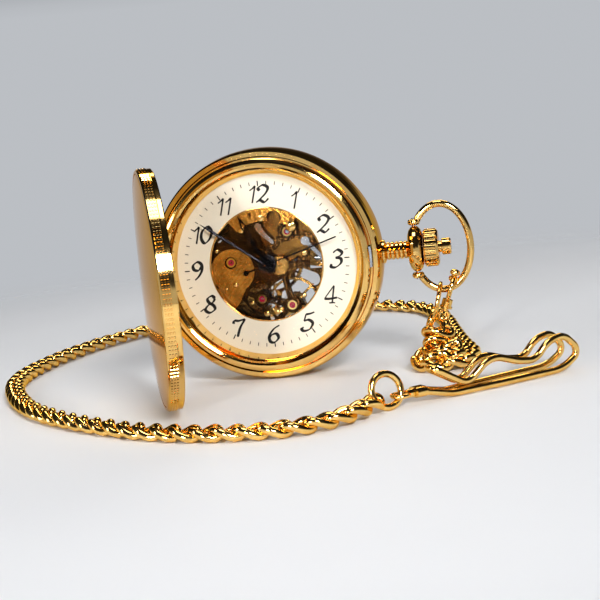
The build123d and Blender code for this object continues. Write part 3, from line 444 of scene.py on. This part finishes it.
def make_dial_side_heads(materials):
    """Screw heads and pin ends that catch the light in the dark movement."""
    for finish, material in HEAD_MATERIALS.items():
        mesh = bmesh.new()
        for x, y, front, back, radius, wanted in DIAL_SIDE_HEADS:
            if wanted == finish:
                place = Matrix.Translation(on_watch(x, y, back)) @ Matrix.Rotation(pi / 2, 4, "X")
                turned(mesh, place, [(r * radius, h * (back - front)) for r, h in HEAD_PROFILE])
        ride_new(finish_mesh(mesh, "heads_" + finish, materials[material]), "case")


# ---------------------------------------------------------------- bow and clasp
BOW_CENTRE_X = 36.8
BOW_WIRE_R = 0.75
BOW_PIVOT = (31.5, 5.65)
BOW_HALF_WIDTH = 6.15
BOW_HALF_HEIGHT = 9.1
BOW_END = radians(143)
BOW_STEPS = 96
BOW_EYE = [(0.5, -0.62), (1.0, -0.58), (1.22, -0.36), (1.3, 0.0), (1.22, 0.36), (1.0, 0.58), (0.5, 0.62)]

CLASP_BEAD_AT = Vector((39.04, 4.3, 18.24)) * MM
CLASP_LEAN = Vector((0.347, 0, 0.938))
CLASP_BEAD = [
    (0.5, -1.35), (0.9, -1.2), (1.05, -0.75), (0.98, -0.35), (0.62, -0.15), (0.62, 0.05), (1.02, 0.25),
    (1.1, 0.65), (0.9, 1.12), (0.45, 1.32),
]


def make_bow(material):
    """Smooth oval bow with a rounded eye at each end."""
    turns = [BOW_END * (2 * i / BOW_STEPS - 1) for i in range(BOW_STEPS + 1)]
    line = [on_watch(BOW_CENTRE_X + BOW_HALF_WIDTH * cos(turn), BOW_HALF_HEIGHT * sin(turn), STEM_DEPTH)
            for turn in turns]
    mesh = bmesh.new()
    sweep(mesh, line, BOW_WIRE_R * MM)
    for side in (-1, 1):
        place = Matrix.Translation(on_watch(BOW_PIVOT[0], side * BOW_PIVOT[1], STEM_DEPTH))
        turned(mesh, place, BOW_EYE)
    bow = ride_new(finish_mesh(mesh, "bow_wire", material), "bow")
    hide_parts("bow")


def make_clasp_bead(material):
    """Waisted knob on top of the clasp's hook."""
    mesh = bmesh.new()
    turned(mesh, aimed_matrix(CLASP_BEAD_AT, CLASP_LEAN, "Z"), CLASP_BEAD)
    ride_new(finish_mesh(mesh, "clasp_bead", material), "bow")


# ---------------------------------------------------------------- lid
# The two faces of the lid's sheet: height at the middle, how far the face falls, the radius at which it has
# fallen that far, and the width of the drawn stretch.
LID_INSIDE = (5.35, 1.25, 21.6, 21.2)
LID_OUTSIDE = (5.95, 0.87, 22.0, 21.6)
LID_MIDDLE_R = 0.4
LID_STEPS = 28
LID_EDGE = [(22.7, 4.1), (22.78, 4.13), (22.8, 4.25), (22.8, 4.8), (22.74, 4.95), (22.5, 5.03)]

# Milling round the lid's rim: front and back depth of each row, pads to a row, and a gap at the hinge.
MILLING_ROWS = ((-3.5, -3.1), (-4.05, -3.65), (-4.6, -4.2))
MILLING_COUNT = 170
MILLING_HEIGHT = 0.09
MILLING_SINK = 0.02
HINGE_ANGLE = 270
HINGE_GAP = 8

# A pad's half width against its pitch, its top against its foot, and its slope against its depth.
PAD_HALF = 0.3
PAD_TOP = 0.7
PAD_SLOPE = 0.18


def lid_place():
    """Turns a piece drawn on the closed lid to where the lid stands open."""
    return Matrix.Translation(LID_HINGE) @ Matrix.Rotation(-LID_OPEN, 4, "Z") @ Matrix.Translation(-LID_HINGE)


def dome_line(face):
    """Points of one face of the lid's sheet, from near its middle outwards."""
    top, fall, rim, reach = face
    radii = [LID_MIDDLE_R + reach * i / LID_STEPS for i in range(LID_STEPS + 1)]
    return [(r, top - fall * (r / rim) ** 2) for r in radii]


def make_lid_shell(material):
    """Evenly domed sheet of the lid, hollow inside."""
    outline = dome_line(LID_INSIDE) + LID_EDGE + dome_line(LID_OUTSIDE)[::-1]
    mesh = bmesh.new()
    place = lid_place() @ Matrix.Translation(on_watch(0, 0, 0)) @ Matrix.Rotation(pi / 2, 4, "X")
    turned(mesh, place, outline, around=144)
    shell = ride_new(finish_mesh(mesh, "lid_dome", material), "lid")
    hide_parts("lid_shell")


def make_lid_milling(material):
    """Rows of small raised pads round the lid's rim."""
    mesh = bmesh.new()
    half = 360 / MILLING_COUNT * PAD_HALF

    def pad(radius, middle, half_angle, front, back):
        corners = ((-half_angle, front), (half_angle, front), (half_angle, back), (-half_angle, back))
        return [mesh.verts.new(on_watch(*clock(radius, middle + angle), depth)) for angle, depth in corners]

    for front, back in MILLING_ROWS:
        inset = (back - front) * PAD_SLOPE
        for i in range(MILLING_COUNT):
            middle = 360 * (i + 0.5) / MILLING_COUNT
            if abs(middle - HINGE_ANGLE) < HINGE_GAP:
                continue
            low = pad(LID_R - MILLING_SINK, middle, half, front, back)
            high = pad(LID_R + MILLING_HEIGHT, middle, half * PAD_TOP, front + inset, back - inset)
            mesh.faces.new(high)
            join_rings(mesh, low, high)
    bmesh.ops.transform(mesh, matrix=lid_place(), verts=mesh.verts)
    ride_new(finish_mesh(mesh, "lid_milling", material, smooth=False), "lid")


# ---------------------------------------------------------------- materials
def shader(name):
    material = bpy.data.materials.new(name)
    material.use_nodes = True
    tree = material.node_tree
    return material, tree, tree.nodes["Principled BSDF"]


def node(tree, kind, inputs=None, **settings):
    made = tree.nodes.new(kind)
    for key, value in settings.items():
        setattr(made, key, value)
    for key, value in (inputs or {}).items():
        made.inputs[key].default_value = value
    return made


def noise(tree, place, scale, detail, **more):
    """Noise laid on the object's own coordinates."""
    made = node(tree, "ShaderNodeTexNoise", {"Scale": scale, "Detail": detail, **more})
    tree.links.new(place.outputs["Object"], made.inputs["Vector"])
    return made


def colour_from(tree, bsdf, source, low, high):
    """Base colour that runs from one tone to another with a texture; gives back the ramp."""
    colours = node(tree, "ShaderNodeValToRGB")
    colours.color_ramp.elements[0].color = (*low, 1)
    colours.color_ramp.elements[1].color = (*high, 1)
    tree.links.new(source.outputs["Fac"], colours.inputs["Fac"])
    tree.links.new(colours.outputs["Color"], bsdf.inputs["Base Color"])
    return colours.color_ramp


def roughness_from(tree, bsdf, source, low, high):
    """Roughness that runs from one value to another with a texture."""
    spread = node(tree, "ShaderNodeMapRange", {"To Min": low, "To Max": high})
    tree.links.new(source.outputs["Fac"], spread.inputs["Value"])
    tree.links.new(spread.outputs["Result"], bsdf.inputs["Roughness"])


def metal(name, colour, tint, roughness, rough_spread=0.08, scratch=0.06, edge=None, graining=0.0):
    """Polished metal with uneven polish, slight tarnish in its colour and fine scratches."""
    material, tree, bsdf = shader(name)
    bsdf.inputs["Metallic"].default_value = 1.0
    bsdf.inputs["Specular Tint"].default_value = (*(edge or colour), 1)
    place = node(tree, "ShaderNodeTexCoord")
    cloud = noise(tree, place, 300.0, 5.0, Roughness=0.6)
    ramp = colour_from(tree, bsdf, cloud, tint, colour)
    ramp.elements[0].position = 0.3
    ramp.elements[1].position = 0.62
    fine = noise(tree, place, 900.0, 6.0, Roughness=0.7)
    smoothest = max(0.02, roughness - rough_spread / 2)
    roughness_from(tree, bsdf, fine, smoothest, roughness + rough_spread)
    bump = node(tree, "ShaderNodeBump", {"Strength": scratch, "Distance": 0.00002})
    tree.links.new(fine.outputs["Fac"], bump.inputs["Height"])
    if graining:
        cells = node(tree, "ShaderNodeTexVoronoi", {"Scale": 900.0, "Randomness": 0.15})
        tree.links.new(place.outputs["Object"], cells.inputs["Vector"])
        swirl = node(tree, "ShaderNodeMath", {1: 90.0}, operation="MULTIPLY")
        tree.links.new(cells.outputs["Distance"], swirl.inputs[0])
        rings = node(tree, "ShaderNodeMath", operation="SINE")
        tree.links.new(swirl.outputs["Value"], rings.inputs[0])
        circles = node(tree, "ShaderNodeBump", {"Strength": graining, "Distance": 0.00002})
        tree.links.new(rings.outputs["Value"], circles.inputs["Height"])
        tree.links.new(circles.outputs["Normal"], bump.inputs["Normal"])
    tree.links.new(bump.outputs["Normal"], bsdf.inputs["Normal"])
    return material


def glass(name, colour, alpha, roughness=0.03):
    """Clear stone or crystal: see-through, with a sharp shine and faint wipe marks."""
    material, tree, bsdf = shader(name)
    bsdf.inputs["Base Color"].default_value = (*colour, 1)
    bsdf.inputs["Alpha"].default_value = alpha
    bsdf.inputs["IOR"].default_value = 1.5
    bsdf.inputs["Coat Weight"].default_value = 0.5
    place = node(tree, "ShaderNodeTexCoord")
    roughness_from(tree, bsdf, noise(tree, place, 140.0, 3.0), roughness, roughness + 0.04)
    material.surface_render_method = "BLENDED"
    return material


def ink():
    """Matt black print with a faint fleck."""
    material, tree, bsdf = shader("dial_ink")
    place = node(tree, "ShaderNodeTexCoord")
    fleck = noise(tree, place, 2500.0, 3.0)
    colour_from(tree, bsdf, fleck, (0.006, 0.006, 0.007), (0.02, 0.018, 0.018))
    bsdf.inputs["Roughness"].default_value = 0.6
    bsdf.inputs["Specular IOR Level"].default_value = 0.15
    return material


def dial_enamel():
    """Cream enamel with broad clouds of tone and a very fine grain."""
    material, tree, bsdf = shader("dial_cream")
    place = node(tree, "ShaderNodeTexCoord")
    fleck = noise(tree, place, 1800.0, 4.0)
    colour_from(tree, bsdf, noise(tree, place, 60.0, 3.0), (0.72, 0.655, 0.52), (0.81, 0.755, 0.63))
    bsdf.inputs["Roughness"].default_value = 0.42
    bsdf.inputs["Coat Weight"].default_value = 0.15
    bump = node(tree, "ShaderNodeBump", {"Strength": 0.12, "Distance": 0.00001})
    tree.links.new(fleck.outputs["Fac"], bump.inputs["Height"])
    tree.links.new(bump.outputs["Normal"], bsdf.inputs["Normal"])
    return material


def make_materials():
    return {
        "gold_case": metal("polished_gold", (0.93, 0.60, 0.20), (0.84, 0.50, 0.14), 0.06, 0.04,
                           edge=(0.80, 0.55, 0.25)),
        "gold_chain": metal("chain_gold", (0.98, 0.66, 0.22), (0.82, 0.48, 0.12), 0.10),
        "gold_movement": metal("movement_gilt", (0.46, 0.23, 0.05), (0.20, 0.09, 0.02), 0.13, scratch=0.25),
        "steel": metal("polished_steel", (0.62, 0.63, 0.66), (0.46, 0.47, 0.51), 0.12),
        "hand_steel": metal("black_hand", (0.012, 0.012, 0.015), (0.006, 0.006, 0.008), 0.2),
        "ruby": glass("ruby", (0.30, 0.004, 0.03), 0.97),
        "crystal": glass("crystal", (0.01, 0.01, 0.01), 0.035),
        "dial_cream": dial_enamel(),
        "gilt_rehaut": metal("rehaut_gilt", (0.95, 0.66, 0.26), (0.82, 0.50, 0.16), 0.07),
        # Brown gilt darkened to near black: painted shade of the movement's recess behind the dial, not the
        # plate's own tone.
        "gilt_with_painted_shade": metal("gilt_with_painted_shade", (0.085, 0.040, 0.011), (0.03, 0.014, 0.005), 0.13, scratch=0.3,
                           edge=(0.2, 0.12, 0.05), graining=0.25),
        "orange_gilt": metal("orange_gilt", (0.80, 0.40, 0.075), (0.46, 0.20, 0.035), 0.13, scratch=0.2,
                             graining=0.3),
        "bright_gilt": metal("bright_gilt", (0.80, 0.48, 0.14), (0.56, 0.30, 0.07), 0.15, scratch=0.2,
                             graining=0.35),
        "setting_gold": metal("setting_gold", (1.0, 0.72, 0.28), (0.9, 0.58, 0.18), 0.07),
        "dark_steel": metal("dark_steel", (0.07, 0.07, 0.085), (0.03, 0.03, 0.038), 0.18),
        "dial_ink": ink(),
    }


# CAD nodes whose finish differs from the one of their slot. The main plate and the movement ring get a brown
# gilt darkened to near black, which is painted shade of the recess behind the dial.
OWN_FINISH = {
    "main_plate": "gilt_with_painted_shade", "movement_ring": "gilt_with_painted_shade", "dial_side_plates": "orange_gilt",
    "cannon_pinion": "dark_steel", "hour_wheel": "dark_steel", "jewel_chatons": "setting_gold",
    "movement_screws": "setting_gold", "balance_wheel": "bright_gilt", "balance_cock": "bright_gilt",
    "barrel_bridge": "bright_gilt", "train_bridge": "bright_gilt", "minute_wheel": "bright_gilt",
}


def dress_cad_nodes(materials):
    """Every CAD node that stays in view gets its slot's detailed material, or a finish of its own."""
    slots = {part["node"]: part["material_slot"] for part in frame["record"]["subparts"]}
    for name, body in nodes.items():
        for index in range(len(body.material_slots)):
            body.material_slots[index].material = materials[OWN_FINISH.get(name, slots[name])]


# ---------------------------------------------------------------- stage
FLOOR_R = 1.2
FLOOR_FADE = (0.12, 0.28)

# Tone of the room by height, from 0 straight below to 1 straight above.
ROOM_BELOW = (0.545, (0.50, 0.52, 0.55, 1))
ROOM_TOP = (1.0, (0.12, 0.12, 0.13, 1))
ROOM_STEPS = ((0.575, 0.08), (0.62, 0.015), (0.95, 0.015))


def make_floor():
    """Pale floor that fades into the background."""
    mesh = bmesh.new()
    bmesh.ops.create_circle(mesh, cap_ends=True, segments=96, radius=FLOOR_R)
    material, tree, bsdf = shader("floor_pale")
    bsdf.inputs["Base Color"].default_value = (0.70, 0.71, 0.73, 1)
    bsdf.inputs["Roughness"].default_value = 0.6
    place = node(tree, "ShaderNodeTexCoord")
    length = node(tree, "ShaderNodeVectorMath", operation="LENGTH")
    tree.links.new(place.outputs["Object"], length.inputs[0])
    fall = {"From Min": FLOOR_FADE[0], "From Max": FLOOR_FADE[1], "To Min": 1.0, "To Max": 0.0}
    fade = node(tree, "ShaderNodeMapRange", fall, interpolation_type="SMOOTHSTEP")
    tree.links.new(length.outputs["Value"], fade.inputs["Value"])
    tree.links.new(fade.outputs["Result"], bsdf.inputs["Alpha"])
    floor = finish_mesh(mesh, "floor", material, smooth=False)


def make_room():
    """Plain studio: pale up to the horizon, dark above it."""
    world = bpy.data.worlds.new("studio")
    world.use_nodes = True
    tree = world.node_tree
    place = node(tree, "ShaderNodeTexCoord")
    parts = node(tree, "ShaderNodeSeparateXYZ")
    tree.links.new(place.outputs["Generated"], parts.inputs["Vector"])
    tones = node(tree, "ShaderNodeValToRGB")
    ramp = tones.color_ramp
    ramp.elements[0].position, ramp.elements[0].color = ROOM_BELOW
    ramp.elements[1].position, ramp.elements[1].color = ROOM_TOP
    for position, tone in ROOM_STEPS:
        step = ramp.elements.new(position)
        step.color = (tone, tone, tone * 1.1, 1)
    height = node(tree, "ShaderNodeMapRange", {"From Min": -1.0, "From Max": 1.0})
    tree.links.new(parts.outputs["Z"], height.inputs["Value"])
    tree.links.new(height.outputs["Result"], tones.inputs["Fac"])
    tree.links.new(tones.outputs["Color"], tree.nodes["Background"].inputs["Color"])
    bpy.context.scene.world = world
    bpy.context.scene.view_settings.view_transform = "Standard"


def soft_light(name, at, aim, size, power, spread=180):
    data = bpy.data.lights.new(name, "AREA")
    data.shape = "RECTANGLE"
    data.size, data.size_y = size
    data.energy = power
    data.spread = radians(spread)
    lamp = bpy.data.objects.new(name, data)
    bpy.context.scene.collection.objects.link(lamp)
    lamp.matrix_world = aimed_matrix(at, Vector(aim) - Vector(at), "-Z")


def make_lights():
    soft_light("key", (0.26, -0.52, 0.36), (0, 0, 0.03), (0.16, 0.16), 0.8, spread=80)
    soft_light("front", (-0.14, -0.62, 0.15), (0, 0, 0.03), (0.10, 0.16), 0.14, spread=40)
    soft_light("left", (-0.45, -0.25, 0.22), (0, 0, 0.03), (0.06, 0.30), 0.8)
    soft_light("back", (0.0, 0.45, 0.40), (0, 0, 0.03), (0.4, 0.08), 0.9)
    soft_light("over", (0.0, -0.05, 0.55), (0, 0, 0.02), (0.2, 0.2), 0.7)


make_camera()
materials = make_materials()
make_chain(materials["gold_chain"])
dress_cad_nodes(materials)
make_dial_print(materials["dial_ink"])
make_dial_rim(materials["gold_case"])
make_dial_side_heads(materials)
make_blades(materials["hand_steel"])
make_lid_shell(materials["gold_case"])
make_lid_milling(materials["gold_case"])
make_bow(materials["gold_case"])
make_clasp_bead(materials["gold_chain"])
make_floor()
make_room()
make_lights()
